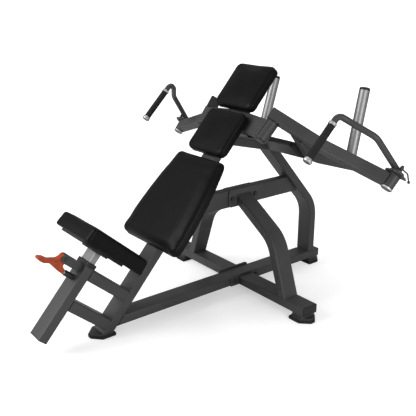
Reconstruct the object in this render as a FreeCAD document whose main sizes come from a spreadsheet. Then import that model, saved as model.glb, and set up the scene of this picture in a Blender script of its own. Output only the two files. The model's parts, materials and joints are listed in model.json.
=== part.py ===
import FreeCAD, Part
import math
import os

# Plate-loaded incline chest fly bench.  Millimetres, +Z up, -Y towards the seat.  The origin is on
# the floor under the middle of the front foot.  Names ending in _right are on the +X side; those
# parts are drawn, and their _left twins are mirror images.

V = FreeCAD.Vector
Turn = FreeCAD.Rotation
Place = FreeCAD.Placement

DIMENSIONS = [
    ("tube_wide", 85, "wide side of every frame tube"),
    ("tube_deep", 42, "narrow side of every frame tube"),
    ("tube_wall", 3, "wall of every frame tube"),
    ("tube_round", 6, "outer corner radius of the frame tube"),
    ("plate_thick", 6, "flange and foot plates"),
    ("foot_rubber", 14, "height of the rubber feet"),
    ("frame_lift", 33, "height of the base tubes above the floor"),
    ("back_lean", 48.5, "angle of the back rest above the floor, degrees"),
    ("arm_tilt", 5.5, "outward tilt of the arm pivots, degrees"),
    ("front_foot", 751, "distance of the front foot's middle ahead of the crossbar"),
    ("toe_front", 731, "distance of the inclined beam's front face ahead of the crossbar"),
    ("spine_end", 525, "rear end of the base spine"),
    ("crossbar_end", 470, "half length of the crossbar"),
    ("flange_half", 92, "half length of the flange plates"),
    ("beam_top", 1225, "top end of the inclined beam, along the incline"),
    ("brace_level", 466, "height of the middle brace's centre line"),
    ("upright_back", 469, "distance of the rear upright behind the crossbar"),
    ("post_offset", 234, "seat post centre line ahead of the beam face"),
    ("post_top", 132, "top of the outer seat post, along the incline"),
    ("post_low", -201, "bottom of the outer seat post, along the incline"),
    ("slide_wide", 70, "wide side of the sliding seat post"),
    ("slide_deep", 30, "narrow side of the sliding seat post"),
    ("slide_wall", 2.5, "wall of the sliding seat post"),
    ("slide_gap", 0.15, "clearance on each side of the sliding seat post"),
    ("slide_step", 35, "pitch of the seat height holes"),
    ("latch_along", 67, "position of the seat lock along the incline"),
    ("latch_pin_radius", 6, "radius of the seat lock pin"),
    ("pad_thick", 46, "thickness of the back pads"),
    ("pad_gap", 5, "gap between the beam face and the back pads"),
    ("board_thick", 12, "plywood boards in the back pads"),
    ("seat_thick", 67, "thickness of the seat pad"),
    ("pivot_out", 110.5, "arm pivot axis, sideways in the arm frame"),
    ("pivot_down", 32, "arm pivot axis behind the beam face"),
    ("pivot_low", 975, "lower end of the pivot housing, along the arm frame"),
    ("pivot_high", 1065, "upper end of the pivot housing"),
    ("housing_radius", 28.5, "outer radius of the pivot housing"),
    ("shaft_radius", 15, "radius of the arm pivot shaft"),
    ("running_gap", 0.05, "radial clearance of turning fits"),
    ("arm_square", 52, "side of the square arm tube"),
    ("arm_centre", 1096, "arm tube centre plane, along the arm frame"),
    ("swivel_out", 600, "handle swivel axis, sideways in the arm frame"),
    ("swivel_down", 284, "handle swivel axis behind the beam face"),
    ("swivel_radius", 24, "outer radius of the swivel bushing"),
    ("spindle_radius", 12, "radius of the handle spindle"),
    ("horn_radius", 24.75, "radius of the plate horn"),
    ("horn_length", 286, "length of the plate horn tube"),
    ("handle_radius", 13, "radius of the handle tube"),
    ("grip_radius", 15.5, "outer radius of the rubber grip"),
    ("bolt_radius", 6, "shank radius of the flange bolts"),
]

doc = FreeCAD.newDocument("incline_chest_fly")
sheet = doc.addObject("Spreadsheet::Sheet", "Sizes")
for row, (alias, value, meaning) in enumerate(DIMENSIONS, start=1):
    sheet.set(f"A{row}", alias)
    sheet.set(f"B{row}", str(value))
    sheet.set(f"C{row}", meaning)
    sheet.setAlias(f"B{row}", alias)
doc.recompute()
size = {alias: float(sheet.get(alias)) for alias, _, _ in DIMENSIONS}

wide_half = size["tube_wide"] / 2
deep = size["tube_deep"]
wall = size["tube_wall"]
plate = size["plate_thick"]
gap = size["running_gap"]
spine_low = size["frame_lift"]
foot_top = size["foot_rubber"] + plate
spine_top = spine_low + deep
spine_mid = spine_low + deep / 2
lean = math.radians(size["back_lean"])
tilt = math.radians(size["arm_tilt"])
arm_half = size["arm_square"] / 2

# LEVEL: origin on the floor under the crossbar.  INCLINE: x across, y up the front face of the
# inclined beam, z out of that face.  ARM: INCLINE turned about its z so that y lies along the
# right-hand arm's pivot.
LEVEL = Place(V(0, size["front_foot"], 0), Turn())
INCLINE = LEVEL * Place(V(0, -size["toe_front"], spine_top), Turn(V(1, 0, 0), size["back_lean"]))
ARM = INCLINE * Place(V(0, 0, 0), Turn(V(0, 0, 1), -size["arm_tilt"]))
LOOK_ALONG = Turn(V(1, 0, 0), -90)
NORMAL_SIGN = {"XY_Plane": 1, "XZ_Plane": -1, "YZ_Plane": 1}

parts = {}


# ---------------------------------------------------------------- drawing helpers

def outline(corners):
    """Closed loop of lines and arcs through (x, y, corner radius) points."""
    points = [V(x, y, 0) for x, y, _ in corners]
    joints = []
    for index, (_, _, radius) in enumerate(corners):
        here = points[index]
        if radius <= 0:
            joints.append((here, here, None))
            continue
        back = (points[index - 1] - here).normalize()
        ahead = (points[(index + 1) % len(points)] - here).normalize()
        half_angle = back.getAngle(ahead) / 2
        centre = here + (back + ahead).normalize() * (radius / math.sin(half_angle))
        reach = radius / math.tan(half_angle)
        joints.append((here + back * reach, here + ahead * reach, centre))
    edges = []
    for index, (start, stop, centre) in enumerate(joints):
        if centre is not None:
            edges.append(arc_about(centre, start, stop))
        following = joints[(index + 1) % len(joints)][0]
        if (following - stop).Length > 1e-6:
            edges.append(Part.LineSegment(stop, following))
    return edges


def arc_about(centre, start, stop):
    """Short circular arc from start to stop."""
    first = start - centre
    last = stop - centre
    if first.cross(last).z < 0:
        first, last = last, first
    circle = Part.Circle(centre, V(0, 0, 1), first.Length)
    return Part.ArcOfCircle(circle, math.atan2(first.y, first.x), math.atan2(last.y, last.x))


def rectangle(x_low, x_high, y_low, y_high, radius=0.0):
    return outline([(x_low, y_low, radius), (x_high, y_low, radius),
                    (x_high, y_high, radius), (x_low, y_high, radius)])


def circle(x, y, radius):
    return [Part.Circle(V(x, y, 0), V(0, 0, 1), radius)]


def hexagon(x, y, radius):
    return outline([(x + radius * math.cos(math.radians(60 * step)),
                     y + radius * math.sin(math.radians(60 * step)), 0) for step in range(6)])


def meet(point_a, along_a, point_b, along_b):
    """Crossing point of two lines in the drawing plane."""
    turn = along_a.x * along_b.y - along_a.y * along_b.x
    offset = point_b - point_a
    reach = (offset.x * along_b.y - offset.y * along_b.x) / turn
    return point_a + along_a * reach


def ribbon(path, bends, half, cuts, overrun=0.0):
    """Corners of a bent strip about a centre path; cuts are the directions of its two ends."""
    points = [V(x, y, 0) for x, y in path]
    steps = [(b - a).normalize() for a, b in zip(points, points[1:])]
    points[0] = points[0] - steps[0] * overrun
    points[-1] = points[-1] + steps[-1] * overrun
    sides = []
    for side in (1, -1):
        shifts = [V(-step.y, step.x, 0) * (half * side) for step in steps]
        corners = [(meet(points[0], V(*cuts[0], 0), points[0] + shifts[0], steps[0]), 0)]
        for index, bend in enumerate(bends):
            at = meet(points[index] + shifts[index], steps[index],
                      points[index + 1] + shifts[index + 1], steps[index + 1])
            left_turn = steps[index].cross(steps[index + 1]).z > 0
            inner = (left_turn and side > 0) or (not left_turn and side < 0)
            corners.append((at, bend - half if inner else bend + half))
        corners.append((meet(points[-1], V(*cuts[1], 0), points[-1] + shifts[-1], steps[-1]), 0))
        sides.append(corners)
    loop = sides[0] + sides[1][::-1]
    return [(point.x, point.y, radius) for point, radius in loop]


# ---------------------------------------------------------------- modelling helpers

def new_body(label, place=LEVEL):
    body = doc.addObject("PartDesign::Body", label)
    body.Label = label
    body.AllowCompound = True
    body.Placement = place
    return body


def draw(body, role, edges, offset=0.0):
    sketch = body.newObject("Sketcher::SketchObject", "Sketch")
    sketch.AttachmentSupport = [(next(f for f in body.Origin.OriginFeatures if f.Role == role), "")]
    sketch.MapMode = "FlatFace"
    sketch.AttachmentOffset = Place(V(0, 0, NORMAL_SIGN[role] * offset), Turn())
    sketch.addGeometry(edges, False)
    if len(edges) > 1:
        sketch.detectMissingPointOnPointConstraints(1e-4)
        sketch.makeMissingPointOnPointCoincident()
    return sketch


def extrude(body, role, edges, low, high, cut=False, bound=None):
    """Pad or pocket between two offsets from an origin plane."""
    feature_type = "PartDesign::Pocket" if cut else "PartDesign::Pad"
    sketch = draw(body, role, edges, (low + high) / 2)
    before = body.Shape.Volume if cut else 0.0
    feature = body.newObject(feature_type, "Cut" if cut else "Pad")
    feature.Profile = sketch
    feature.SideType = "Symmetric"
    feature.Length = high - low
    if bound:
        feature.setExpression("Length", bound)
    doc.recompute()
    if cut and body.Shape.Volume > before - 1e-3:
        raise RuntimeError(f"{body.Label}: a pocket removed nothing")
    return feature


def bevel(body, kind, radius, keep):
    """Fillet or chamfer every edge of the body's last feature that keep() accepts."""
    last = body.Tip
    names = [f"Edge{i}" for i, edge in enumerate(last.Shape.Edges, start=1) if keep(edge)]
    feature = body.newObject(kind, "Bevel")
    feature.Base = (last, names)
    if not names:
        raise RuntimeError(f"{body.Label}: no edge to bevel")
    if kind == "PartDesign::Fillet":
        feature.Radius = radius
    else:
        feature.Size = radius
    doc.recompute()
    if not feature.isValid():
        raise RuntimeError(f"{body.Label}: a bevel did not compute")
    return feature


def middle(edge):
    return edge.valueAt((edge.FirstParameter + edge.LastParameter) / 2)


def tube(label, place, role, path, bends, cuts, across, width, offset=0.0, bound=None, closed_end=False):
    """Hollow rounded tube following a path in one origin plane of its own frame."""
    body = new_body(label, place)
    low = offset - width / 2
    high = offset + width / 2
    extrude(body, role, outline(ribbon(path, bends, across / 2, cuts)), low, high, bound=bound)
    axis = {"XY_Plane": "z", "XZ_Plane": "y", "YZ_Plane": "x"}[role]
    ends = [V(*path[0], 0), V(*path[-1], 0)]

    def long_edge(edge):
        centre = middle(edge)
        level = getattr(centre, axis)
        if abs(level - low) > 1e-3 and abs(level - high) > 1e-3:
            return False
        flat = {"z": V(centre.x, centre.y, 0), "y": V(centre.x, centre.z, 0), "x": V(centre.y, centre.z, 0)}
        return all((flat[axis] - end).Length > 1.0 for end in ends)

    bevel(body, "PartDesign::Fillet", size["tube_round"], long_edge)
    overrun = 30.0
    inner_path = list(path)
    if closed_end:
        start, stop = V(*path[-2], 0), V(*path[-1], 0)
        stop = stop - (stop - start).normalize() * (overrun + wall)
        inner_path[-1] = (stop.x, stop.y)
    inner = outline(ribbon(inner_path, bends, across / 2 - wall, cuts, overrun))
    extrude(body, role, inner, low + wall, high - wall, cut=True,
            bound=f"{bound} - 2 * Sizes.tube_wall" if bound else None)
    return body


def turned(label, place, profile):
    """Solid of revolution about the local Z axis from (radius, height, corner radius) points."""
    body = new_body(label, place)
    sketch = draw(body, "XZ_Plane", outline(profile))
    feature = body.newObject("PartDesign::Revolution", "Turned")
    feature.Profile = sketch
    feature.ReferenceAxis = (sketch, ["V_Axis"])
    feature.Angle = 360
    doc.recompute()
    return body


def ring_profile(inner, outer, low, high, edge=0.0):
    return [(inner, low, 0), (outer, low, edge), (outer, high, edge), (inner, high, 0)]


def mirrored(label, source, normal=V(1, 0, 0)):
    copy = doc.addObject("Part::Mirroring", label)
    copy.Label = label
    copy.Source = source
    copy.Normal = normal
    copy.Base = LEVEL.Base
    doc.recompute()
    return copy


def group(label, members):
    compound = doc.addObject("Part::Compound", label)
    compound.Label = label
    compound.Links = members
    doc.recompute()
    return compound


def cut_away(label, base, tool):
    feature = doc.addObject("Part::Cut", label)
    feature.Label = label
    feature.Base = base
    feature.Tool = tool
    doc.recompute()
    return feature


def both_sides(name, source):
    """Keep a right-hand part and its mirrored left-hand twin as two nodes."""
    source.Label = f"{name}_right"
    parts[f"{name}_right"] = source
    parts[f"{name}_left"] = mirrored(f"{name}_left", source)


def pair(name, source, normal=V(1, 0, 0)):
    """One node holding a part and its mirror image as two separate solids."""
    source.Label = f"{name}_single"
    parts[name] = group(name, [source, mirrored(f"{name}_twin", source, normal)])


# ---------------------------------------------------------------- frame

def beam_back_y(level):
    """Y of the inclined beam's rear face at a height."""
    return -size["toe_front"] + deep / math.sin(lean) + (level - spine_top) / math.tan(lean)


UPRIGHT_PATH = [
    (size["upright_back"], spine_top),
    (size["upright_back"], 331.6),
    (157.8, 683.4),
    (beam_back_y(742.8), 742.8),
]
LEAN_CUT = (math.cos(lean), math.sin(lean))
FLANGE_BOLT = (68.0, 56.0)
BRACE_BOLT = (70.0, size["brace_level"])


def base_spine():
    path = [(beam_back_y(spine_mid), spine_mid), (size["spine_end"], spine_mid)]
    body = tube("base_spine", LEVEL, "YZ_Plane", path, [], [LEAN_CUT, (0, 1)],
                deep, size["tube_wide"], bound="Sizes.tube_wide")
    for y in (-FLANGE_BOLT[0], FLANGE_BOLT[0]):
        hole = circle(y, FLANGE_BOLT[1], size["bolt_radius"] + 0.5)
        extrude(body, "YZ_Plane", hole, -wide_half - 1, wide_half + 1, cut=True)
    parts["base_spine"] = body


def crossbars():
    path = [(wide_half + plate, spine_mid), (size["crossbar_end"], spine_mid)]
    body = tube("crossbar_half", LEVEL, "XZ_Plane", path, [], [(0, 1), (0, 1)],
                deep, size["tube_wide"], bound="Sizes.tube_wide")
    pair("crossbars", body)


def side_legs():
    reach = deep / 2 + plate
    path = [(reach, 457.6), (250.6, 317.9), (335.0, spine_top)]
    body = tube("side_leg", LEVEL, "XZ_Plane", path, [146.0], [(0, 1), (1, 0)],
                deep, size["tube_wide"], bound="Sizes.tube_wide")
    pair("side_legs", body)


def rear_upright():
    parts["rear_upright"] = tube(
        "rear_upright", LEVEL, "YZ_Plane", UPRIGHT_PATH, [171.0, 60.0],
        [(1, 0), LEAN_CUT], deep, size["tube_wide"], bound="Sizes.tube_wide")


def mid_brace():
    level = size["brace_level"]
    low = V(*UPRIGHT_PATH[1], 0)
    slope = (V(*UPRIGHT_PATH[2], 0) - low).normalize()
    under = low + V(-slope.y, slope.x, 0) * (deep / 2)
    rear = meet(under, slope, V(0, level, 0), V(1, 0, 0))
    path = [(beam_back_y(level), level), (rear.x, level)]
    body = tube("mid_brace", LEVEL, "YZ_Plane", path, [], [LEAN_CUT, (slope.x, slope.y)],
                size["tube_wide"], deep, bound="Sizes.tube_deep")
    for y in (-BRACE_BOLT[0], BRACE_BOLT[0]):
        hole = circle(y, level, size["bolt_radius"] + 0.5)
        extrude(body, "YZ_Plane", hole, -deep / 2 - 1, deep / 2 + 1, cut=True)
    parts["mid_brace"] = body


def main_beam():
    floor_cut = (math.cos(lean), -math.sin(lean))
    start = (deep / 2 * math.cos(lean) - (spine_top - foot_top)) / math.sin(lean)
    path = [(start, -deep / 2), (size["beam_top"], -deep / 2)]
    parts["main_beam"] = tube("main_beam", INCLINE, "YZ_Plane", path, [], [floor_cut, (0, 1)],
                              deep, size["tube_wide"], bound="Sizes.tube_wide")


def flange_plates():
    low = new_body("crossbar_flange")
    half = size["flange_half"]
    shape = outline([(-half, spine_low, 4), (half, spine_low, 4), (half, 85, 14), (-half, 85, 14)])
    extrude(low, "YZ_Plane", shape, wide_half, wide_half + plate, bound="Sizes.plate_thick")
    high = new_body("leg_flange")
    level = size["brace_level"]
    extrude(high, "YZ_Plane", rectangle(-half, half, level - 41, level + 41, 16),
            deep / 2, deep / 2 + plate, bound="Sizes.plate_thick")
    for body, (y, z) in ((low, FLANGE_BOLT), (high, BRACE_BOLT)):
        for side in (-1, 1):
            hole = circle(side * y, z, size["bolt_radius"] + 0.5)
            extrude(body, "YZ_Plane", hole, deep / 2 - 1, wide_half + plate + 1, cut=True)
    pair("flange_plates", group("flange_plates_right", [low, high]))


def flange_fasteners():
    radius = size["bolt_radius"]
    bolts = []
    nuts = []
    for face, (y, z) in ((wide_half + plate, FLANGE_BOLT), (deep / 2 + plate, BRACE_BOLT)):
        bolt = new_body("bolt")
        extrude(bolt, "YZ_Plane", hexagon(y, z, 11), face, face + 7.5)
        bevel(bolt, "PartDesign::Chamfer", 1.0, lambda edge: middle(edge).x > face + 7)
        extrude(bolt, "YZ_Plane", circle(y, z, radius), -face - 14, face + 1)
        nut = new_body("nut")
        extrude(nut, "YZ_Plane", hexagon(y, z, 11), -face - 10, -face)
        extrude(nut, "YZ_Plane", circle(y, z, radius + gap), -face - 11, -face + 1, cut=True)
        bolts.append(bolt)
        nuts.append(nut)
    pair("flange_bolts", group("flange_bolts_rear", bolts), V(0, 1, 0))
    pair("flange_nuts", group("flange_nuts_rear", nuts), V(0, 1, 0))


def feet():
    """Pointed rubber pads, each with a steel sole; the side and rear soles carry a spacer."""
    rubber = size["foot_rubber"]
    places = [("side_foot", 430, 0, 0, True), ("front_foot", 0, -size["front_foot"] - 8, -90, False),
              ("rear_foot", 0, 490, 90, True)]
    rubbers = []
    soles = []
    for name, x, y, outward, spaced in places:
        place = LEVEL * Place(V(x, y, 0), Turn(V(0, 0, 1), outward))
        block = new_body(name, place)
        extrude(block, "XY_Plane", foot_plan(0), 0, rubber, bound="Sizes.foot_rubber")
        bevel(block, "PartDesign::Fillet", 3.0, lambda edge: middle(edge).z < 1e-3)
        bevel(block, "PartDesign::Chamfer", 3.0, lambda edge: middle(edge).z > rubber - 1e-3)
        sole = new_body(f"{name}_sole", place)
        extrude(sole, "XY_Plane", foot_plan(7), rubber, foot_top, bound="Sizes.plate_thick")
        if spaced:
            extrude(sole, "XY_Plane", rectangle(-28, 37, -38, 38, 4), foot_top - 1, spine_low)
        rubbers.append(block)
        soles.append(sole)
    parts["rubber_feet"] = group("rubber_feet", rubbers + [mirrored("side_foot_left", rubbers[0])])
    parts["foot_plates"] = group("foot_plates", soles + [mirrored("side_sole_left", soles[0])])


def foot_plan(inset):
    """Pad outline with its pointed end towards +x."""
    half = 52 - inset
    return outline([(-38 + inset, -half, 8), (27, -half, 12), (65 - inset, -12, 14), (65 - inset, 12, 14),
                    (27, half, 12), (-38 + inset, half, 8)])


def end_plug(name, place, role, centre_x, centre_y, half_x, half_y, face, outward):
    """Plastic cap with a spigot; role is the plane square to the tube."""
    plug = new_body(name, place)
    cap = rectangle(centre_x - half_x, centre_x + half_x, centre_y - half_y, centre_y + half_y, 5.5)
    slack = wall + 0.3
    spigot = rectangle(centre_x - half_x + slack, centre_x + half_x - slack,
                       centre_y - half_y + slack, centre_y + half_y - slack, 2)
    near, far = sorted((face, face + outward * 4.0))
    extrude(plug, role, cap, near, far)
    tip = far if outward > 0 else near
    normal = {"XY_Plane": "z", "XZ_Plane": "y", "YZ_Plane": "x"}[role]
    bevel(plug, "PartDesign::Chamfer", 1.5, lambda edge: abs(getattr(middle(edge), normal) - tip) < 1e-3)
    near, far = sorted((face + outward * 0.5, face - outward * 18.0))
    extrude(plug, role, spigot, near, far)
    return plug


def tube_end_plugs():
    half = deep / 2
    side = end_plug("crossbar_plug", LEVEL, "YZ_Plane", 0, spine_mid, wide_half, half,
                    size["crossbar_end"], 1)
    rear = end_plug("spine_plug", LEVEL, "XZ_Plane", 0, spine_mid, wide_half, half, size["spine_end"], 1)
    top = end_plug("beam_plug", INCLINE, "XZ_Plane", 0, -half, wide_half, half, size["beam_top"], 1)
    low = end_plug("post_plug", INCLINE, "XZ_Plane", 0, size["post_offset"], wide_half, half,
                   size["post_low"], -1)
    parts["tube_end_plugs"] = group("tube_end_plugs",
                                    [side, mirrored("crossbar_plug_left", side), rear, top, low])


# ---------------------------------------------------------------- seat post and seat

def seat_post():
    middle_line = size["post_offset"]
    path = [(size["post_low"], middle_line), (size["post_top"], middle_line)]
    body = tube("seat_post", INCLINE, "YZ_Plane", path, [], [(0, 1), (0, 1)],
                deep, size["tube_wide"], bound="Sizes.tube_wide")
    front = middle_line + deep / 2
    hole = circle(0, size["latch_along"], size["latch_pin_radius"] + 1)
    extrude(body, "XY_Plane", hole, front - wall - 1, front + 1, cut=True)
    parts["seat_post"] = body
    ties = []
    back_face = middle_line - deep / 2
    for along in (-31.5, 108.0):
        ties.append(tube("post_tie", INCLINE, "YZ_Plane", [(along, 0), (along, back_face)], [],
                         [(1, 0), (1, 0)], 48.0, size["tube_wide"], bound="Sizes.tube_wide"))
    parts["post_ties"] = group("post_ties", ties)


def post_liner():
    slack = size["slide_gap"]
    line = size["post_offset"]
    top = size["post_top"]
    body = new_body("post_liner", INCLINE)
    extrude(body, "XZ_Plane", rectangle(-44.5, 44.5, line - 23, line + 23, 7), top, top + 20)
    bevel(body, "PartDesign::Fillet", 3.0, lambda edge: middle(edge).y > top + 19.9)
    sleeve_x = wide_half - wall - 0.1
    sleeve_y = deep / 2 - wall - 0.1
    extrude(body, "XZ_Plane", rectangle(-sleeve_x, sleeve_x, line - sleeve_y, line + sleeve_y, 2),
            top - 100, top + 1)
    hole_x = size["slide_wide"] / 2 + slack
    hole_y = size["slide_deep"] / 2 + slack
    extrude(body, "XZ_Plane", rectangle(-hole_x, hole_x, line - hole_y, line + hole_y, 3),
            top - 101, top + 21, cut=True)
    port = circle(0, size["latch_along"], size["latch_pin_radius"] + 1)
    extrude(body, "XY_Plane", port, line + hole_y - 1, line + sleeve_y + 1, cut=True)
    parts["post_liner"] = body


def seat_inner_post():
    half_x = size["slide_wide"] / 2
    half_y = size["slide_deep"] / 2
    line = size["post_offset"]
    skin = size["slide_wall"]
    body = new_body("seat_inner_post", INCLINE)
    extrude(body, "XZ_Plane", rectangle(-half_x, half_x, line - half_y, line + half_y, 4), -120, 196)
    extrude(body, "XZ_Plane", rectangle(-half_x + skin, half_x - skin, line - half_y + skin,
                                        line + half_y - skin, 2), -121, 197, cut=True)
    for step in range(-1, 5):
        at = size["latch_along"] - step * size["slide_step"]
        hole = circle(0, at, size["latch_pin_radius"] + 0.3)
        extrude(body, "XY_Plane", hole, line + half_y - skin - 1, line + half_y + 1, cut=True)
    parts["seat_inner_post"] = body


def seat():
    mount = new_body("seat_mount_plate", INCLINE)
    extrude(mount, "XZ_Plane", rectangle(-45, 45, 190, 278, 8), 196, 202, bound="Sizes.plate_thick")
    parts["seat_mount_plate"] = mount
    board = new_body("seat_board", INCLINE)
    extrude(board, "XZ_Plane", rectangle(-102, 102, 142, 364, 20), 202, 214)
    parts["seat_board"] = board
    pad = new_body("seat_pad", INCLINE)
    top = 211 + size["seat_thick"]
    extrude(pad, "XZ_Plane", rectangle(-135, 135, 68, 377, 16), 211, top, bound="Sizes.seat_thick")
    bevel(pad, "PartDesign::Fillet", 8.0, lambda edge: middle(edge).y > top - 1e-3)
    bevel(pad, "PartDesign::Fillet", 4.0, lambda edge: middle(edge).y < 211 + 1e-3)
    extrude(pad, "XZ_Plane", rectangle(-102.3, 102.3, 141.7, 364.3, 20.3), 210, 214, cut=True)
    parts["seat_pad"] = pad


# ---------------------------------------------------------------- seat latch

LEVER_PIVOT = (115.0, 335.0)
LEVER_HALF = 13.0
LATCH_NECK = 316.0


def lever_bracket():
    """Two cheek plates on a base plate; the release lever's hub turns between the cheeks."""
    body = new_body("lever_bracket", INCLINE)
    front = size["post_offset"] + deep / 2
    inner = LEVER_HALF + 0.4
    outer = inner + 4.6
    extrude(body, "XY_Plane", rectangle(-20, 20, 90, 131, 4), front, front + plate,
            bound="Sizes.plate_thick")
    cheek = outline([(96, front, 0), (96, 354, 18.5), (134, 354, 18.5), (131.5, front, 0)])
    extrude(body, "YZ_Plane", cheek, -outer, outer)
    gap_between = rectangle(80, 150, front + plate, 360)
    extrude(body, "YZ_Plane", gap_between, -inner, inner, cut=True)
    extrude(body, "YZ_Plane", circle(*LEVER_PIVOT, 5 + gap), -outer - 1, outer + 1, cut=True)
    parts["lever_bracket"] = body
    pin_place = INCLINE * Place(V(0, *LEVER_PIVOT), Turn(V(0, 1, 0), 90))
    under_head = outer + 0.3
    end = under_head + 3.2
    pin = turned("lever_pivot_pin", pin_place, [
        (0, -end, 0), (8, -end, 1.5), (8, -under_head, 0), (5, -under_head, 0),
        (5, under_head, 0), (8, under_head, 0), (8, end, 1.5), (0, end, 0)])
    parts["lever_pivot_pin"] = pin


def seat_release_lever():
    """Handle, hub and the fork whose two stubs sit in the lock pin's groove."""
    body = new_body("seat_release_lever", INCLINE)
    shape = outline([
        (58, 309, 5), (60, 332, 10), (71, 384, 25), (60, 410, 25), (60, 430, 10), (64, 442, 6),
        (73, 440, 7), (81, 422, 14), (82, 400, 25), (100, 366, 16), (129, 349, 14), (129, 321, 14),
        (103, 321, 12), (88, 334, 8), (76, 309, 5)])
    extrude(body, "YZ_Plane", shape, -LEVER_HALF, LEVER_HALF)
    extrude(body, "YZ_Plane", rectangle(50, 80, 300, 328), -8.3, 8.3, cut=True)
    for side in (-1, 1):
        low, high = sorted((side * 5.8, side * 9.0))
        extrude(body, "YZ_Plane", circle(size["latch_along"], LATCH_NECK, 3.7), low, high)
    extrude(body, "YZ_Plane", circle(*LEVER_PIVOT, 5 + gap), -LEVER_HALF - 1, LEVER_HALF + 1, cut=True)
    parts["seat_release_lever"] = body


def seat_latch():
    front = size["post_offset"] + deep / 2
    pin_radius = size["latch_pin_radius"]
    place = INCLINE * Place(V(0, size["latch_along"], 0), Turn())
    bore = pin_radius + gap
    profile = [(bore, front, 0), (12, front, 0)]
    for rib in range(6):
        low = front + 6 + rib * 6
        profile += [(12, low, 0), (11.2, low + 1, 0), (11.2, low + 3, 0), (12, low + 4, 0)]
    profile += [(12, 299, 1.5), (bore, 299, 0)]
    parts["lock_barrel"] = turned("lock_barrel", place, profile)
    tip = size["post_offset"] + size["slide_deep"] / 2 + 0.5
    low = LATCH_NECK - 4
    high = LATCH_NECK + 4
    parts["seat_lock_pin"] = turned("seat_lock_pin", place, [
        (0, tip, 0), (pin_radius, tip, 1), (pin_radius, low - 3, 0), (8, low - 3, 0.5), (8, low, 0.5),
        (5.5, low, 0), (5.5, high, 0), (8, high, 0.5), (8, high + 3, 1), (0, high + 3, 0)])


# ---------------------------------------------------------------- back pads

# Name, start and stop along the incline, half widths at start, middle and stop, plan corner
# radius, spans of the two mounting strips.
PADS = [("backrest_pad", 348, 790, (202, 203, 147), 34, [(430, 480), (660, 710)]),
        ("middle_pad", 816, 1029, (119, 119, 119), 28, [(848, 888), (957, 997)]),
        ("headrest_pad", 1056, 1279, (121, 121, 121), 28, [(1085, 1125), (1178, 1218)])]
PAD_SIDE_RADIUS = 1300.0


def pad_plan(start, stop, halves, corner, inset):
    """Plan outline of a back pad, with bowed sides where its middle is fuller than its ends."""
    low, mid, high = (half - inset for half in halves)
    right = [(low, start + inset, corner), (high, stop - inset, corner)]
    if halves[1] > (halves[0] + halves[2]) / 2:
        right.insert(1, (mid, (start + stop) / 2, PAD_SIDE_RADIUS))
    return outline(right + [(-x, y, radius) for x, y, radius in reversed(right)])


def back_pads():
    low = size["pad_gap"]
    high = low + size["pad_thick"]
    board_top = low + size["board_thick"]
    boards = []
    brackets = new_body("pad_brackets", INCLINE)
    strips = []
    for name, start, stop, halves, corner, spans in PADS:
        pad = new_body(name, INCLINE)
        extrude(pad, "XY_Plane", pad_plan(start, stop, halves, corner, 0), low, high,
                bound="Sizes.pad_thick")
        bevel(pad, "PartDesign::Fillet", 16.0, lambda edge: middle(edge).z > high - 1e-3)
        bevel(pad, "PartDesign::Fillet", 4.0, lambda edge: middle(edge).z < low + 1e-3)
        recess = pad_plan(start, stop, halves, corner - 10, 14)
        extrude(pad, "XY_Plane", recess, low - 1, board_top, cut=True)
        parts[name] = pad
        board = new_body(f"{name}_board", INCLINE)
        extrude(board, "XY_Plane", pad_plan(start, stop, halves, corner - 10.4, 14.4),
                low, board_top - 0.1)
        boards.append(board)
        for first, last in spans:
            strips += rectangle(-70, 70, first, last, 8)
    extrude(brackets, "XY_Plane", strips, 0, low, bound="Sizes.pad_gap")
    parts["pad_boards"] = group("pad_boards", boards)
    parts["pad_brackets"] = brackets


# ---------------------------------------------------------------- arm pivots and stops

def pivot_parts():
    out = size["pivot_out"]
    down = -size["pivot_down"]
    low = size["pivot_low"]
    high = size["pivot_high"]
    radius = size["housing_radius"]
    axis = ARM * Place(V(out, 0, down), LOOK_ALONG)
    housing = turned("pivot_housing", axis, ring_profile(radius - 5, radius, low, high, 0.8))
    pair("pivot_housings", housing)
    inner = size["shaft_radius"] + gap
    sleeve = radius - 5 - gap
    lower = turned("bush_low", axis, ring_profile(inner, sleeve, low, low + 25))
    upper = turned("bush_high", axis, [
        (inner, high - 25, 0), (sleeve, high - 25, 0), (sleeve, high, 0), (radius, high, 0),
        (radius, high + 4.7, 1), (inner, high + 4.7, 0)])
    pair("pivot_bushes", group("bushes_right", [lower, upper]))
    across = size["tube_wide"]
    centre = (low + high) / 2
    start = (wide_half - centre * math.sin(tilt)) / math.cos(tilt)
    shoulder = tube("shoulder_tube", ARM, "XY_Plane", [(start, centre), (out, centre)], [],
                    [(-math.sin(tilt), math.cos(tilt)), (0, 1)], across, deep, offset=-deep / 2,
                    bound="Sizes.tube_deep")
    extrude(shoulder, "XZ_Plane", circle(out, down, radius + gap), low - 5, high + 5, cut=True)
    pair("shoulder_tubes", shoulder)
    shaft = turned("pivot_shaft", axis, [
        (0, low - 6, 0), (21, low - 6, 2), (21, low - 0.3, 0), (size["shaft_radius"], low - 0.3, 0),
        (size["shaft_radius"], size["arm_centre"] + arm_half - 0.5, 1),
        (0, size["arm_centre"] + arm_half - 0.5, 0)])
    both_sides("pivot_shaft", shaft)


STOP_ALONG = (1024.0, 1049.0)
STOP_DEEP = (-264.0, -161.0)
STOP_REACH = 236.0


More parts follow.
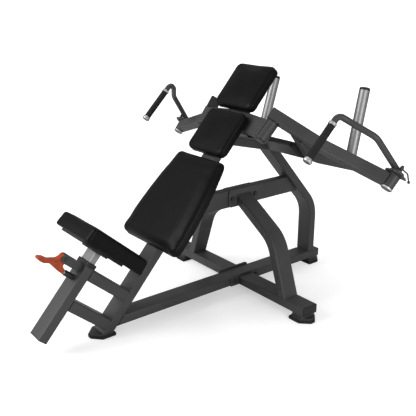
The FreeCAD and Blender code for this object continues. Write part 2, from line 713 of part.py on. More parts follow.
def stop_arms():
    middle_along = sum(STOP_ALONG) / 2
    body = tube("stop_arm", INCLINE, "XY_Plane",
                [(wide_half, middle_along), (STOP_REACH, middle_along)], [], [(0, 1), (0, 1)],
                STOP_ALONG[1] - STOP_ALONG[0], STOP_DEEP[1] - STOP_DEEP[0], offset=sum(STOP_DEEP) / 2,
                closed_end=True)
    pair("stop_arms", body)
    bumper = new_body("stop_bumper", INCLINE)

    def lever_side(along):
        """Sideways position of the horn lever's inner face at a distance along the incline."""
        inner = LEVER_OUT - arm_half - 0.5
        return (inner + along * math.sin(tilt)) / math.cos(tilt)
    low, high = STOP_ALONG
    shape = outline([(STOP_REACH, low + 1, 0), (lever_side(low + 1), low + 1, 3),
                     (lever_side(high - 1), high - 1, 3), (STOP_REACH, high - 1, 0)])
    extrude(bumper, "XY_Plane", shape, STOP_DEEP[0] + 4, STOP_DEEP[1] - 4)
    pair("stop_bumpers", bumper)


# ---------------------------------------------------------------- arms

LEVER_OUT = 187.0
LEVER_PATH = [(1098.0, -94.0), (1072.0, -262.0), (1186.0, -510.0)]
LEVER_BEND = 120.0
HORN_ROOT = V(191, 1192, -486)
HORN_AIM = V(-0.123, 0.883, 0.453).normalize()
HORN_ROOT_TOP = 19.0


def arm_tubes():
    out = size["pivot_out"]
    down = -size["pivot_down"]
    bend = V(293, -174, 0)
    inward = (V(out, down, 0) - bend).normalize()
    start = V(out, down, 0) + inward * 30
    swivel_axis = V(size["swivel_out"], -size["swivel_down"], 0)
    outward = (swivel_axis - bend).normalize()
    stop = swivel_axis - outward * 12
    path = [(stop.x, stop.y), (bend.x, bend.y), (start.x, start.y)]
    cuts = [(-outward.y, outward.x), (-inward.y, inward.x)]
    body = tube("arm_tube_right", ARM, "XZ_Plane", path, [70.0], cuts,
                size["arm_square"], size["arm_square"], offset=size["arm_centre"],
                bound="Sizes.arm_square", closed_end=True)
    low = size["arm_centre"] - arm_half - 2
    high = size["arm_centre"] + arm_half + 2
    extrude(body, "XZ_Plane", circle(out, down, size["shaft_radius"] + gap), low, high, cut=True)
    swivel = circle(size["swivel_out"], -size["swivel_down"], size["swivel_radius"] + gap)
    extrude(body, "XZ_Plane", swivel, low, high, cut=True)
    both_sides("arm_tube", body)


def half_space(name, place, length=400.0):
    """Cutting block whose lower face lies on the local XY plane."""
    box = doc.addObject("Part::Box", name)
    box.Length = length
    box.Width = length
    box.Height = length / 2
    box.Placement = place * Place(V(-length / 2, -length / 2, 0), Turn())
    return box


def horn_levers():
    last = (V(*LEVER_PATH[2], 0) - V(*LEVER_PATH[1], 0)).normalize()
    lever = tube("horn_lever_tube", ARM, "YZ_Plane", LEVER_PATH, [LEVER_BEND], [(1, 0), (-last.y, last.x)],
                 size["arm_square"], size["arm_square"], offset=LEVER_OUT, bound="Sizes.arm_square",
                 closed_end=True)
    out = size["pivot_out"]
    down = -size["pivot_down"]
    along = V(293 - out, 0, -174 - down).normalize()
    up = V(0, 1, 0).cross(along) * -1
    underside = Place(V(out, size["arm_centre"], down) - up * arm_half, Turn(V(0, 0, 1), up))
    tool = half_space("above_arm_underside", ARM * underside)
    both_sides("horn_lever", cut_away("horn_lever_right", lever, tool))
    horn_place = ARM * Place(HORN_ROOT, Turn(V(0, 0, 1), HORN_AIM))
    radius = size["horn_radius"]
    end = 41 + size["horn_length"]
    horn = turned("plate_horn_tube", horn_place, [
        (radius - 4, -30, 0), (radius + 2, -30, 0), (radius + 2, HORN_ROOT_TOP, 1.5),
        (radius, HORN_ROOT_TOP, 0), (radius, end, 0.5), (radius - 4, end, 0)])
    behind = V(0, -last.y, last.x)
    face_point = V(LEVER_OUT, *LEVER_PATH[2]) + behind * arm_half
    lever_face = half_space("lever_back_face", ARM * Place(face_point, Turn(V(0, 0, 1), -behind)))
    both_sides("plate_horn", cut_away("plate_horn_right", horn, lever_face))
    cap = turned("horn_cap_right", horn_place, [
        (0, end - 20, 0), (radius - 4.3, end - 20, 1), (radius - 4.3, end, 0), (radius - 0.2, end, 0),
        (radius - 0.2, end + 12, 8), (0, end + 15, 0)])
    both_sides("horn_cap", cap)


# ---------------------------------------------------------------- handle swivels

INDEX_RADIUS = 27.0
INDEX_ANGLE = math.radians(40)
HUB_LOW = 1132.4
HUB_HIGH = 1142.0


def swivel_place():
    return ARM * Place(V(size["swivel_out"], 0, -size["swivel_down"]), LOOK_ALONG)


def swivel_parts():
    axis = swivel_place()
    low = size["arm_centre"] - arm_half - 3
    high = size["arm_centre"] + arm_half + 5
    spindle = size["spindle_radius"]
    bushing = turned("handle_bushing_right", axis,
                     ring_profile(spindle + gap, size["swivel_radius"], low, high, 0.5))
    both_sides("handle_bushing", bushing)
    sector = new_body("index_sector_right", ARM)
    out = size["swivel_out"]
    down = -size["swivel_down"]
    fan = []
    for step in range(0, 181, 10):
        angle = math.radians(step - 30)
        rim = 47 if (step // 10) % 2 == 0 else 42
        fan.append((out + rim * math.cos(angle), down + rim * math.sin(angle), 0))
    fan.append((out - 20, down - 14, 4))
    fan.append((out, down - 22, 6))
    extrude(sector, "XZ_Plane", outline(fan), high, high + 5)
    extrude(sector, "XZ_Plane", circle(out, down, spindle + 0.5), high - 1, high + 6, cut=True)
    for step in range(-2, 3):
        angle = INDEX_ANGLE + math.radians(15 * step)
        hole = circle(out + INDEX_RADIUS * math.cos(angle), down + INDEX_RADIUS * math.sin(angle), 3.3)
        extrude(sector, "XZ_Plane", hole, high - 1, high + 6, cut=True)
    both_sides("index_sector", sector)
    shaft = turned("handle_spindle_right", axis, [
        (0, low - 6.5, 0), (24.5, low - 6.5, 2), (24.5, low - 0.3, 0), (spindle, low - 0.3, 0),
        (spindle, HUB_HIGH, 1), (0, HUB_HIGH, 0)])
    both_sides("handle_spindle", shaft)


def bent_path(points, radii):
    """3-D wire of straight runs joined by tangent arcs."""
    edges = []
    here = points[0]
    for corner, following, radius in zip(points[1:-1], points[2:], radii):
        back = (here - corner).normalize()
        ahead = (following - corner).normalize()
        half_angle = back.getAngle(ahead) / 2
        reach = radius / math.tan(half_angle)
        start = corner + back * reach
        stop = corner + ahead * reach
        bisector = (back + ahead).normalize()
        mid = corner + bisector * (radius / math.sin(half_angle) - radius)
        edges.append(Part.LineSegment(here, start).toShape())
        edges.append(Part.Arc(start, mid, stop).toShape())
        here = stop
    edges.append(Part.LineSegment(here, points[-1]).toShape())
    return Part.Wire(edges)


HANDLE_PATH = [V(596, 1148, -302), V(558, 1181, -114), V(466, 1174, -26), V(448, 1167, 14),
               V(466, 949, 27)]
HANDLE_BENDS = [60.0, 60.0, 28.0]


def swept(name, path, radius_expression, start, aim):
    """Round bar along a wire, as a sweep of one circle bound to the sheet."""
    spine = doc.addObject("Part::Feature", f"{name}_path")
    spine.Shape = path
    section = doc.addObject("Part::Circle", f"{name}_section")
    section.setExpression("Radius", radius_expression)
    section.Placement = Place(start, Turn(V(0, 0, 1), aim))
    sweep = doc.addObject("Part::Sweep", name)
    sweep.Sections = [section]
    sweep.Spine = (spine, [f"Edge{i}" for i in range(1, len(path.Edges) + 1)])
    sweep.Solid = True
    sweep.Frenet = False
    doc.recompute()
    sweep.Placement = ARM
    return sweep


def handles():
    path = bent_path(HANDLE_PATH, HANDLE_BENDS)
    aim = (HANDLE_PATH[1] - HANDLE_PATH[0]).normalize()
    outer = swept("handle_bar", path, "Sizes.handle_radius", HANDLE_PATH[0], aim)
    inner = swept("handle_bore", path, "Sizes.handle_radius - 2.5", HANDLE_PATH[0], aim)
    hollow = cut_away("handle_hollow", outer, inner)
    hub_top = half_space("hub_top", ARM * Place(V(560, HUB_HIGH, -281), Turn(V(1, 0, 0), 90)))
    both_sides("handle_tube", cut_away("handle_tube_right", hollow, hub_top))
    hub = new_body("handle_hub_right", ARM)
    out = size["swivel_out"]
    down = -size["swivel_down"]
    shape = outline([(out - 26, down - 36, 16), (out + 20, down - 30, 14), (out + 36, down + 6, 11),
                     (out + 24, down + 32, 11), (out - 26, down + 24, 14)])
    extrude(hub, "XZ_Plane", shape, HUB_LOW, HUB_HIGH)
    extrude(hub, "XZ_Plane", circle(out, down, size["spindle_radius"] + 0.02), HUB_LOW - 1, HUB_HIGH + 1,
            cut=True)
    pin_out = out + INDEX_RADIUS * math.cos(INDEX_ANGLE)
    pin_down = down + INDEX_RADIUS * math.sin(INDEX_ANGLE)
    extrude(hub, "XZ_Plane", circle(pin_out, pin_down, 3 + gap), HUB_LOW - 1, HUB_HIGH + 1, cut=True)
    both_sides("handle_hub", hub)
    grip_axis = (HANDLE_PATH[-1] - HANDLE_PATH[-2]).normalize()
    place = ARM * Place(HANDLE_PATH[-1], Turn(V(0, 0, 1), -grip_axis))
    bar = size["handle_radius"] + 0.05
    rim = size["grip_radius"]
    profile = [(bar, 8, 0)]
    for rib in range(25):
        low = 8 + rib * 6.2
        profile += [(rim, low, 0.6), (rim, low + 4.4, 0.6), (rim - 1, low + 4.8, 0), (rim - 1, low + 5.8, 0)]
    profile += [(rim, 163, 0.6), (rim, 168, 0.6), (bar, 168, 0)]
    both_sides("handle_grip", turned("handle_grip_right", place, profile))
    flare = turned("grip_end_cap", place, [
        (0, -9, 0), (17, -9, 5), (20, -2, 3), (18, 3, 0), (16.5, 7.8, 0), (bar, 7.8, 0), (bar, -0.2, 0),
        (0, -0.2, 0)])
    collar = turned("grip_collar", place, ring_profile(bar, rim + 1.5, 168.2, 180, 1.5))
    both_sides("grip_collars", group("grip_collars_right", [flare, collar]))


def index_pins():
    """Spring pin with a cranked pull rod, on the outer side of the handle hub."""
    axis = swivel_place() * Place(V(INDEX_RADIUS * math.cos(INDEX_ANGLE),
                                    -INDEX_RADIUS * math.sin(INDEX_ANGLE), 0), Turn())
    tip = size["arm_centre"] + arm_half + 5 + 5 + 0.45
    pin = turned("index_pin_body", axis, [
        (0, tip, 0), (3, tip, 0.8), (3, HUB_HIGH + 7, 0), (8, HUB_HIGH + 7, 1), (8, HUB_HIGH + 20, 1),
        (6, HUB_HIGH + 20, 0), (6, HUB_HIGH + 26, 1.5), (0, HUB_HIGH + 26, 0)])
    start = V(0, 0, HUB_HIGH + 13)
    elbow = V(22, 22, HUB_HIGH + 9)
    stop = V(36, 38, HUB_HIGH - 16)
    rod = doc.addObject("Part::Feature", "index_rod")
    wire = bent_path([start, elbow, stop], [12.0])
    section = Part.Wire(Part.Circle(start, elbow - start, 3.2).toShape())
    sweep = wire.makePipeShell([section], True, False)
    knob = Part.makeSphere(6.0, stop)
    rod.Shape = sweep.fuse(knob).removeSplitter()
    rod.Placement = axis
    joined = doc.addObject("Part::Fuse", "index_pin_right")
    joined.Base = pin
    joined.Tool = rod
    doc.recompute()
    both_sides("index_pin", joined)


for build in (base_spine, crossbars, side_legs, rear_upright, mid_brace, main_beam, flange_plates,
              flange_fasteners, feet, tube_end_plugs, seat_post, post_liner, seat_inner_post, seat,
              lever_bracket, seat_release_lever, seat_latch, back_pads, pivot_parts, stop_arms,
              arm_tubes, horn_levers, swivel_parts, handles, index_pins):
    build()

doc.recompute()
for item in doc.Objects:
    if "Invalid" in item.State or "Error" in item.State:
        raise RuntimeError(f"{item.Label} did not compute: {item.State}")
os.makedirs("parts", exist_ok=True)
for node, item in parts.items():
    if item.Shape.isNull() or not item.Shape.isValid() or item.Shape.Volume < 1:
        raise RuntimeError(f"{node} has no valid solid")
    item.Shape.exportStep(f"parts/{node}.step")
print(len(parts), "parts written")
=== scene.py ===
import json
import math

import bmesh
import bpy
import numpy as np
from mathutils import Matrix, Vector
from mathutils.bvhtree import BVHTree


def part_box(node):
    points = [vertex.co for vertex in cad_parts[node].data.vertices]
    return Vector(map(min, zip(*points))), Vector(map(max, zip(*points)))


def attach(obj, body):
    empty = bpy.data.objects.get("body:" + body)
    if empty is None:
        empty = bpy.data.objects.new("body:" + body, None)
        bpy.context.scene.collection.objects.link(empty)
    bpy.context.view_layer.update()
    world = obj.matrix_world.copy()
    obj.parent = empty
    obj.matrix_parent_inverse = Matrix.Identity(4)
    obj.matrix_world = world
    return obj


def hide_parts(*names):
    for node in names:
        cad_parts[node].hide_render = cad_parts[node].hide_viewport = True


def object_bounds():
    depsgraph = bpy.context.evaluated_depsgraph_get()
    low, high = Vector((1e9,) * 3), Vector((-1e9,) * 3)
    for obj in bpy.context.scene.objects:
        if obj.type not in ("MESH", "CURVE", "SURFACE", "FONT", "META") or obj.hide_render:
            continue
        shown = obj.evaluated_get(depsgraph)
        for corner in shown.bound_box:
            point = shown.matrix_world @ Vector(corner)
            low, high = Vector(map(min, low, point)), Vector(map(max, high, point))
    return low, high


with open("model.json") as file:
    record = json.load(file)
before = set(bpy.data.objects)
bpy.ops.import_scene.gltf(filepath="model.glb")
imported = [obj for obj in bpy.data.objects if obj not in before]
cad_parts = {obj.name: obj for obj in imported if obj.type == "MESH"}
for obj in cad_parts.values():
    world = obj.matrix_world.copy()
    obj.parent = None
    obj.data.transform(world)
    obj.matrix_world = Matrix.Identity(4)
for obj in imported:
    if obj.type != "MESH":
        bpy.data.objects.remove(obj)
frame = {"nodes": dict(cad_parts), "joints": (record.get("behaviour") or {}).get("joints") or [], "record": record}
cad_low, cad_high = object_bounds()
NODES = frame["nodes"]
JOINTS = {joint["name"]: joint for joint in frame["joints"]}

# Directions of the leaning back: UP_BACK runs up the incline, OUT_BACK points away from it, towards
# the person. All lengths are in metres.
UP_BACK = Vector(JOINTS["seat_slide"]["axis"]).normalized()
SIDE = Vector((1, 0, 0))
OUT_BACK = SIDE.cross(UP_BACK)
MIDDLE = (cad_low + cad_high) / 2

# Cushion covers: node, body it rides on, largest swelling, direction it swells in.
CUSHIONS = (
    ("backrest_pad", "frame", 0.010, OUT_BACK),
    ("middle_pad", "frame", 0.008, OUT_BACK),
    ("headrest_pad", "frame", 0.008, OUT_BACK),
    ("seat_pad", "seat", 0.005, UP_BACK),
)
VOXEL_SIZE = 0.0058
CLOTH_PRESSURE = 4.0
CLOTH_FRAMES = 20
HELD_SHARE = 0.3        # share of the depth, from the rear, that the cloth holds still
SMOOTHING_ROUNDS = 40   # averages the swelling, so that no wrinkles stay
SIDE_WAIST = 0.001      # how far each side pulls in between its corners
FRONT_DROP = 0.003      # the front starts lower by this, because it swells
COVER_MARGIN = 0.0028   # how far the cover reaches past each side of the plain pad
SEAM_SHARE = 0.16       # height of the seam as a share of the depth, from the rear
SEAM_RADIUS = 0.0016
SEAM_SINK = 0.0004
SEAM_STEPS = 240
SEAM_REACH = 0.6        # distance from the pad's centre that is outside every pad

# Release lever screws: label, distance up the incline and out from the hinge, boss and screw radius.
LEVER_SCREWS = (
    ("large", -0.028, 0.031, 0.00714, 0.00252),
    ("small", -0.038, 0.020, 0.00442, 0.00156),
)
BOSS_HEIGHT = 0.001
SCREW_HEIGHT = 0.0016
FITTING_BEVEL = 0.0003

# Lamps: name, place and aim measured from the floor under the machine's middle, width, watts.
LAMPS = (
    ("top_front", Vector((-1.2, -3.2, 2.4)), Vector((0, 0, 0.4)), 2.4, 120),
    ("overhead", Vector((-0.8, 1.2, 4.0)), Vector((0, 0, 0)), 3.5, 28),
    ("right_strip", Vector((3.6, -0.2, 1.3)), Vector((0, 0, 0.6)), 1.8, 50),
)
WORLD_LIGHT = 0.34
WORLD_SEEN = 1.1
FLOOR_REACH = 40.0
FLOOR_DROP = 0.0005
FLOOR_GLOW_FAR = 1.1
FLOOR_GLOW_UNDER = 0.4
FLOOR_GLOW_SCALE = 0.3

CAMERA_PLACE = (2.0917, -1.0881, 1.3412)
CAMERA_AZIMUTH = math.radians(51.8)
CAMERA_ELEVATION = math.radians(18.7)
CAMERA_LENS = 53.53
CAMERA_SENSOR = 36.0


# ------------------------------------------------------------------ node material helpers

class Nodes:
    """Small wrapper that builds a material's node tree.

    The plain colour, roughness and metallic values hold wherever no texture is linked to them.
    """

    def __init__(self, name, colour, roughness, metallic=0.0, gloss=0.5):
        self.material = bpy.data.materials.new(name)
        self.material.use_nodes = True
        self.tree = self.material.node_tree
        self.shader = self.tree.nodes["Principled BSDF"]
        self.shader.inputs["Base Color"].default_value = (*colour, 1)
        self.shader.inputs["Roughness"].default_value = roughness
        self.shader.inputs["Metallic"].default_value = metallic
        self.shader.inputs["Specular IOR Level"].default_value = gloss
        self.place = self.add("ShaderNodeTexCoord").outputs["Object"]

    def add(self, kind, **settings):
        """Adds a node. Each setting is an input socket where one has that name, else a property."""
        node = self.tree.nodes.new(kind)
        for key, value in settings.items():
            if key in node.inputs:
                node.inputs[key].default_value = value
            else:
                setattr(node, key, value)
        return node

    def link(self, output, target):
        self.tree.links.new(output, target)

    def stretched(self, scale):
        """The object's coordinates, scaled along each axis."""
        mapping = self.add("ShaderNodeMapping")
        mapping.inputs["Scale"].default_value = scale
        self.link(self.place, mapping.inputs["Vector"])
        return mapping.outputs["Vector"]

    def noise(self, scale, detail=3.0, stretch=None):
        """Cloudy 0..1 texture."""
        source = self.stretched(stretch) if stretch else self.place
        noise = self.add("ShaderNodeTexNoise", Scale=scale, Detail=detail)
        self.link(source, noise.inputs["Vector"])
        return noise.outputs["Fac"]

    def ramp(self, value, stops):
        """Colours a 0..1 value by (position, colour) stops."""
        ramp = self.add("ShaderNodeValToRGB")
        while len(ramp.color_ramp.elements) < len(stops):
            ramp.color_ramp.elements.new(0.5)
        for element, (at, colour) in zip(ramp.color_ramp.elements, stops):
            element.position = at
            element.color = (*colour, 1)
        self.link(value, ramp.inputs["Fac"])
        return ramp.outputs["Color"]

    def spread(self, value, low, high):
        """Maps a 0..1 value to a range."""
        span = self.add("ShaderNodeMapRange")
        span.inputs["To Min"].default_value = low
        span.inputs["To Max"].default_value = high
        self.link(value, span.inputs["Value"])
        return span.outputs["Result"]

    def bump(self, height, strength, distance):
        bump = self.add("ShaderNodeBump", Strength=strength, Distance=distance)
        self.link(height, bump.inputs["Height"])
        self.link(bump.outputs["Normal"], self.shader.inputs["Normal"])

    def set(self, name, output):
        self.link(output, self.shader.inputs[name])


def powder_coat():
    """Fine-grained dark grey powder coat with faint cloudy shade changes."""
    nodes = Nodes("powder_coat", (0.04, 0.04, 0.042), 0.45, gloss=0.45)
    cloud = nodes.noise(6.0, 2.0)
    grain = nodes.noise(420.0, 2.0)
    shades = [(0.3, (0.040, 0.040, 0.041)), (0.7, (0.052, 0.052, 0.053))]
    nodes.set("Base Color", nodes.ramp(cloud, shades))
    nodes.set("Roughness", nodes.spread(nodes.noise(14.0), 0.4, 0.52))
    nodes.bump(grain, 0.2, 0.0004)
    return nodes.material


def vinyl():
    """Black upholstery vinyl with a pebbled grain."""
    nodes = Nodes("pad_vinyl", (0.006, 0.006, 0.006), 0.5, gloss=0.11)
    cells = nodes.add("ShaderNodeTexVoronoi", Scale=420.0)
    cells.feature = "DISTANCE_TO_EDGE"
    nodes.link(nodes.place, cells.inputs["Vector"])
    cloud = nodes.noise(9.0, 3.0)
    shades = [(0.25, (0.0035, 0.0035, 0.0036)), (0.75, (0.0055, 0.0055, 0.0057))]
    nodes.set("Base Color", nodes.ramp(cloud, shades))
    nodes.set("Roughness", nodes.spread(nodes.noise(22.0), 0.36, 0.48))
    nodes.bump(cells.outputs["Distance"], 0.2, 0.0006)
    return nodes.material


def moulded(name, colour, roughness, gloss=0.35):
    """Dull black skin of rubber, plastic or oxidised steel, slightly uneven."""
    nodes = Nodes(name, colour, roughness, gloss=gloss)
    cloud = nodes.noise(18.0, 4.0)
    low = tuple(c * 0.75 for c in colour)
    high = tuple(min(1.0, c * 1.35) for c in colour)
    nodes.set("Base Color", nodes.ramp(cloud, [(0.3, low), (0.75, high)]))
    nodes.set("Roughness", nodes.spread(cloud, roughness - 0.08, roughness + 0.08))
    nodes.bump(nodes.noise(300.0, 2.0), 0.2, 0.0005)
    return nodes.material


def brushed_metal(name, colour, roughness, stretch):
    """Metal with fine drawn lines and painted shade, darker where its surface turns away from the eye."""
    nodes = Nodes(name, colour, roughness, 0.6)
    nodes.shader.inputs["Specular Tint"].default_value = (0.25, 0.25, 0.25, 1)
    lines = nodes.noise(60.0, 4.0, stretch)
    low = tuple(c * 0.93 for c in colour)
    streaks = nodes.ramp(lines, [(0.3, low), (0.7, colour)])
    # Painted shade: the base colour is darkened where the surface turns away from the eye, standing in for light
    # falling off there.
    turned = nodes.add("ShaderNodeLayerWeight", Blend=0.4).outputs["Facing"]
    edge = nodes.ramp(turned, [(0.25, (1, 1, 1)), (0.8, (0.16, 0.16, 0.16))])
    painted_shade_mix = nodes.add("ShaderNodeMixRGB", Fac=1.0)
    painted_shade_mix.blend_type = "MULTIPLY"
    nodes.link(streaks, painted_shade_mix.inputs["Color1"])
    nodes.link(edge, painted_shade_mix.inputs["Color2"])
    nodes.set("Base Color", painted_shade_mix.outputs["Color"])
    nodes.set("Roughness", nodes.spread(lines, roughness - 0.04, roughness + 0.04))
    nodes.bump(lines, 0.03, 0.0001)
    return nodes.material


def stained_plywood():
    """Plywood board stained dark, with a faint grain."""
    nodes = Nodes("plywood", (0.02, 0.018, 0.016), 0.7, gloss=0.3)
    wave = nodes.add("ShaderNodeTexWave", Scale=22.0, Distortion=6.0, Detail=3.0)
    nodes.link(nodes.place, wave.inputs["Vector"])
    shades = [(0.1, (0.022, 0.021, 0.020)), (0.9, (0.04, 0.037, 0.034))]
    nodes.set("Base Color", nodes.ramp(wave.outputs["Fac"], shades))
    nodes.bump(wave.outputs["Fac"], 0.1, 0.0005)
    return nodes.material


def lever_orange():
    """Orange moulded plastic, slightly cloudy."""
    nodes = Nodes("lever_orange", (0.42, 0.05, 0.012), 0.38, gloss=0.4)
    cloud = nodes.noise(45.0, 4.0)
    shades = [(0.3, (0.34, 0.034, 0.004)), (0.7, (0.46, 0.062, 0.007))]
    nodes.set("Base Color", nodes.ramp(cloud, shades))
    nodes.set("Roughness", nodes.spread(cloud, 0.32, 0.45))
    nodes.bump(nodes.noise(260.0), 0.08, 0.0004)
    return nodes.material


MATERIALS = {
    "frame_paint": powder_coat(),
    "pad_vinyl": vinyl(),
    "black_rubber": moulded("black_rubber", (0.01, 0.01, 0.01), 0.72),
    "black_plastic": moulded("black_plastic", (0.012, 0.012, 0.012), 0.42),
    "chromed_steel": brushed_metal("chromed_steel", (0.33, 0.33, 0.33), 0.42, (1, 1, 0.03)),
    "zinc_steel": brushed_metal("zinc_steel", (0.75, 0.75, 0.75), 0.4, (1, 1, 0.2)),
    "plywood": stained_plywood(),
    "lever_orange": lever_orange(),
    "black_steel": moulded("black_steel", (0.02, 0.02, 0.02), 0.42, gloss=0.5),
    "alloy_trim": brushed_metal("alloy_trim", (0.6, 0.6, 0.6), 0.3, (0.2, 1, 1)),
}
SLOTS = {part["node"]: part["material_slot"] for part in frame["record"]["subparts"]}


def dress_cad():
    """Gives each CAD part the material of its slot in the record."""
    for name, item in NODES.items():
        item.data.materials.clear()
        item.data.materials.append(MATERIALS[SLOTS[name]])


# ------------------------------------------------------------------ upholstery

def link_new(name, data):
    """New scene object holding a mesh, curve, lamp or camera."""
    item = bpy.data.objects.new(name, data)
    bpy.context.scene.collection.objects.link(item)
    return item


def apply_modifiers(item):
    """Replaces an object's mesh by its modified one."""
    graph = bpy.context.evaluated_depsgraph_get()
    mesh = bpy.data.meshes.new_from_object(item.evaluated_get(graph))
    item.modifiers.clear()
    item.data = mesh


def spread_out(mesh, field, rounds):
    """Averages a per-vertex vector field over each vertex's neighbours."""
    ends = np.zeros(len(mesh.edges) * 2, dtype=np.int64)
    mesh.edges.foreach_get("vertices", ends)
    first, second = ends.reshape(-1, 2).T
    count = np.bincount(np.concatenate((first, second)), minlength=len(field)).astype(float)
    count[count == 0] = 1.0
    for _ in range(rounds):
        total = np.zeros_like(field)
        np.add.at(total, first, field[second])
        np.add.at(total, second, field[first])
        field = 0.5 * field + 0.5 * total / count[:, None]
    return field


def positions(mesh):
    """Vertex positions as an array of rows."""
    flat = np.zeros(len(mesh.vertices) * 3)
    mesh.vertices.foreach_get("co", flat)
    return flat.reshape(-1, 3)


def inflate(cover, outward):
    """Blows the cover up as cloth under pressure, with its rear held."""
    held = cover.vertex_groups.new(name="held")
    depths = positions(cover.data) @ np.array(outward)
    limit = depths.min() + HELD_SHARE * (depths.max() - depths.min())
    held.add([int(i) for i in np.nonzero(depths < limit)[0]], 1.0, "REPLACE")
    cloth = cover.modifiers.new("Cloth", "CLOTH")
    cloth.settings.use_pressure = True
    cloth.settings.uniform_pressure_force = CLOTH_PRESSURE
    cloth.settings.vertex_group_mass = "held"
    cloth.settings.effector_weights.gravity = 0.0
    cloth.settings.quality = 5
    cloth.settings.bending_stiffness = 5.0
    cloth.point_cache.frame_start = 1
    cloth.point_cache.frame_end = CLOTH_FRAMES
    for step in range(1, CLOTH_FRAMES + 1):
        bpy.context.scene.frame_set(step)
    apply_modifiers(cover)
    bpy.context.scene.frame_set(1)


def cushion(node, body, cap, outward):
    """Inflated vinyl cover over one plain CAD pad. Its rear stays flat on the board."""
    source = NODES[node]
    cover = link_new(node + "_cover", source.data.copy())
    remesh = cover.modifiers.new("Remesh", "REMESH")
    remesh.mode = "VOXEL"
    remesh.voxel_size = VOXEL_SIZE
    apply_modifiers(cover)
    out = np.array(outward)
    across = np.array(SIDE)
    along = np.cross(out, across)
    axes = np.stack((across, along, out), axis=1)
    plain = positions(source.data) @ axes
    half = (plain.max(axis=0) - plain.min(axis=0)) / 2
    centre = axes @ ((plain.max(axis=0) + plain.min(axis=0)) / 2)
    start = spread_out(cover.data, positions(cover.data), 2)
    local = (start - centre) @ axes
    share = np.clip(local / half, -1, 1)
    waist = SIDE_WAIST * np.sign(local[:, :2]) * (1 - share[:, 1::-1] ** 2) * np.abs(share[:, :2]) ** 4
    # Rises from 0 just in front of mid depth to 1 at the front.
    front = np.clip((share[:, 2] - 0.2) / 0.8, 0, 1)
    start = start - waist[:, :1] * across - waist[:, 1:] * along - FRONT_DROP * front[:, None] * out
    cover.data.vertices.foreach_set("co", start.ravel())
    inflate(cover, outward)
    move = positions(cover.data) - start
    length = np.linalg.norm(move, axis=1)
    move *= (np.minimum(length, cap) / np.maximum(length, 1e-9))[:, None]
    # 0 near the rear, 1 from a third of the depth on.
    clear_of_rear = np.clip((share[:, 2:] + 0.75) / 0.4, 0, 1)
    move = spread_out(cover.data, move, SMOOTHING_ROUNDS) * clear_of_rear
    shape = start + move
    local = (shape - centre) @ axes
    reach = (local.max(axis=0) - local.min(axis=0)) / 2
    grow = (half + COVER_MARGIN) / reach - 1
    shape = shape + local[:, :1] * grow[0] * across + local[:, 1:2] * grow[1] * along
    cover.data.vertices.foreach_set("co", shape.ravel())
    surface = cover.modifiers.new("Subdivision", "SUBSURF")
    surface.levels = 1
    surface.render_levels = 1
    apply_modifiers(cover)
    for polygon in cover.data.polygons:
        polygon.use_smooth = True
    cover.data.materials.clear()
    cover.data.materials.append(MATERIALS["pad_vinyl"])
    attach(cover, body)
    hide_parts(node)
    return cover


def seam(cover, body, outward, name):
    """Piped seam round a cushion's side, near its rear."""
    tree = BVHTree.FromObject(cover, bpy.context.evaluated_depsgraph_get())
    depths = [v.co.dot(outward) for v in cover.data.vertices]
    level = min(depths) + SEAM_SHARE * (max(depths) - min(depths))
    across = SIDE
    along = outward.cross(across)
    centre = sum((v.co for v in cover.data.vertices), Vector()) / len(cover.data.vertices)
    centre += outward * (level - centre.dot(outward))
    points = []
    for step in range(SEAM_STEPS):
        angle = 2 * math.pi * step / SEAM_STEPS
        aim = across * math.cos(angle) + along * math.sin(angle)
        skin = tree.ray_cast(centre + aim * SEAM_REACH, -aim, SEAM_REACH)[0]
        if skin is not None:
            points.append(skin - aim * SEAM_SINK)
    loop_cord(name, points, SEAM_RADIUS, "pad_vinyl", body)


def loop_cord(name, points, radius, slot, body):
    """Round cord along a closed run of points."""
    curve = bpy.data.curves.new(name, "CURVE")
    curve.dimensions = "3D"
    curve.bevel_depth = radius
    curve.bevel_resolution = 2
    spline = curve.splines.new("POLY")
    spline.points.add(len(points) - 1)
    for slot_point, point in zip(spline.points, points):
        slot_point.co = (*point, 1)
    spline.use_cyclic_u = True
    cord = link_new(name, curve)
    curve.materials.append(MATERIALS[slot])
    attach(cord, body)


def upholster():
    """Covers and piping of all four cushions."""
    for node, body, cap, outward in CUSHIONS:
        cover = cushion(node, body, cap, outward)
        seam(cover, body, outward, node + "_seam")


# ------------------------------------------------------------------ small fittings

def disc(name, centre, axis, radius, height, slot, body, sides):
    """Short cylinder with a bevelled rim, standing on a face."""
    shape = bmesh.new()
    bmesh.ops.create_cone(shape, cap_ends=True, segments=sides, radius1=radius, radius2=radius,
                          depth=height)
    rim = [edge for edge in shape.edges if abs(edge.verts[0].co.z - edge.verts[1].co.z) < 1e-9]
    bmesh.ops.bevel(shape, geom=rim, offset=FITTING_BEVEL, segments=2, affect="EDGES")
    turn = axis.normalized().to_track_quat("Z", "Y").to_matrix().to_4x4()
    shape.transform(Matrix.Translation(centre + axis.normalized() * height / 2) @ turn)
    mesh = bpy.data.meshes.new(name)
    shape.to_mesh(mesh)
    shape.free()
    item = link_new(name, mesh)
    mesh.materials.append(MATERIALS[slot])
    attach(item, body)


def lever_screws():
    """Two moulded bosses with a screw in each, on both faces of the release lever."""
    low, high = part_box("seat_release_lever")
    hinge = Vector(JOINTS["seat_lever_hinge"]["pos_m"])
    for label, along, out, boss, screw in LEVER_SCREWS:
        at = hinge + UP_BACK * along + OUT_BACK * out
        for side, face in ((1, high.x), (-1, low.x)):
            centre = Vector((face, at.y, at.z))
            name = f"lever_{label}_{'near' if side > 0 else 'far'}"
            facing = SIDE * side
            disc(name + "_boss", centre, facing, boss, BOSS_HEIGHT, "lever_orange", "seat_lever", 32)
            disc(name + "_screw", centre, facing, screw, SCREW_HEIGHT, "black_plastic", "seat_lever", 20)


# ------------------------------------------------------------------ stage

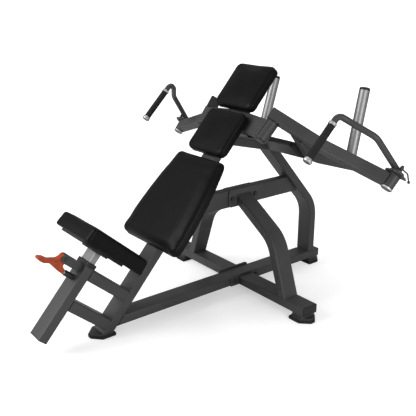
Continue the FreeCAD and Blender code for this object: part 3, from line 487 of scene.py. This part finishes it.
def floor_material():
    """Pale floor that stays near white away from the machine and keeps its soft shadows."""
    nodes = Nodes("floor", (0.8, 0.8, 0.8), 0.9, gloss=0.1)
    falloff = nodes.add("ShaderNodeTexGradient")
    falloff.gradient_type = "SPHERICAL"
    nodes.link(nodes.stretched((FLOOR_GLOW_SCALE,) * 3), falloff.inputs["Vector"])
    glow = nodes.spread(falloff.outputs["Fac"], FLOOR_GLOW_FAR, FLOOR_GLOW_UNDER)
    seen = nodes.add("ShaderNodeLightPath").outputs["Is Camera Ray"]
    product = nodes.add("ShaderNodeMath")
    product.operation = "MULTIPLY"
    nodes.link(glow, product.inputs[0])
    nodes.link(seen, product.inputs[1])
    nodes.shader.inputs["Emission Color"].default_value = (1, 1, 1, 1)
    nodes.set("Emission Strength", product.outputs["Value"])
    nodes.set("Roughness", nodes.spread(nodes.noise(3.0), 0.85, 0.95))
    return nodes.material


def studio_world():
    """White to the camera, dimmer as a light."""
    world = bpy.data.worlds.new("studio")
    bpy.context.scene.world = world
    world.use_nodes = True
    tree = world.node_tree
    background = tree.nodes["Background"]
    background.inputs["Color"].default_value = (1, 1, 1, 1)
    seen = tree.nodes.new("ShaderNodeLightPath")
    strength = tree.nodes.new("ShaderNodeMapRange")
    strength.inputs["To Min"].default_value = WORLD_LIGHT
    strength.inputs["To Max"].default_value = WORLD_SEEN
    tree.links.new(seen.outputs["Is Camera Ray"], strength.inputs["Value"])
    tree.links.new(strength.outputs["Result"], background.inputs["Strength"])


def floor():
    """Wide plain floor just under the feet."""
    mesh = bpy.data.meshes.new("floor")
    reach = FLOOR_REACH
    corners = [(-reach, -reach, 0), (reach, -reach, 0), (reach, reach, 0), (-reach, reach, 0)]
    mesh.from_pydata(corners, [], [(0, 1, 2, 3)])
    item = link_new("floor", mesh)
    item.location = (MIDDLE.x, MIDDLE.y, -FLOOR_DROP)
    mesh.materials.append(floor_material())


def lamp(name, offset, aim, width, power):
    """Square area lamp pointing from its offset to its aim."""
    light = bpy.data.lights.new(name, "AREA")
    light.size = width
    light.energy = power
    item = link_new(name, light)
    base = Vector((MIDDLE.x, MIDDLE.y, 0))
    item.location = base + offset
    item.rotation_euler = (aim - offset).to_track_quat("-Z", "Y").to_euler()


def camera():
    """Camera from the front right, looking slightly down."""
    data = bpy.data.cameras.new("camera")
    data.sensor_width = CAMERA_SENSOR
    data.lens = CAMERA_LENS
    item = link_new("camera", data)
    item.location = CAMERA_PLACE
    flat = math.cos(CAMERA_ELEVATION)
    back = Vector((math.sin(CAMERA_AZIMUTH) * flat, -math.cos(CAMERA_AZIMUTH) * flat,
                   math.sin(CAMERA_ELEVATION)))
    item.rotation_euler = back.to_track_quat("Z", "Y").to_euler()
    bpy.context.scene.camera = item


dress_cad()
upholster()
lever_screws()
floor()
studio_world()
for lamp_values in LAMPS:
    lamp(*lamp_values)
camera()
bpy.context.scene.view_settings.view_transform = "Standard"
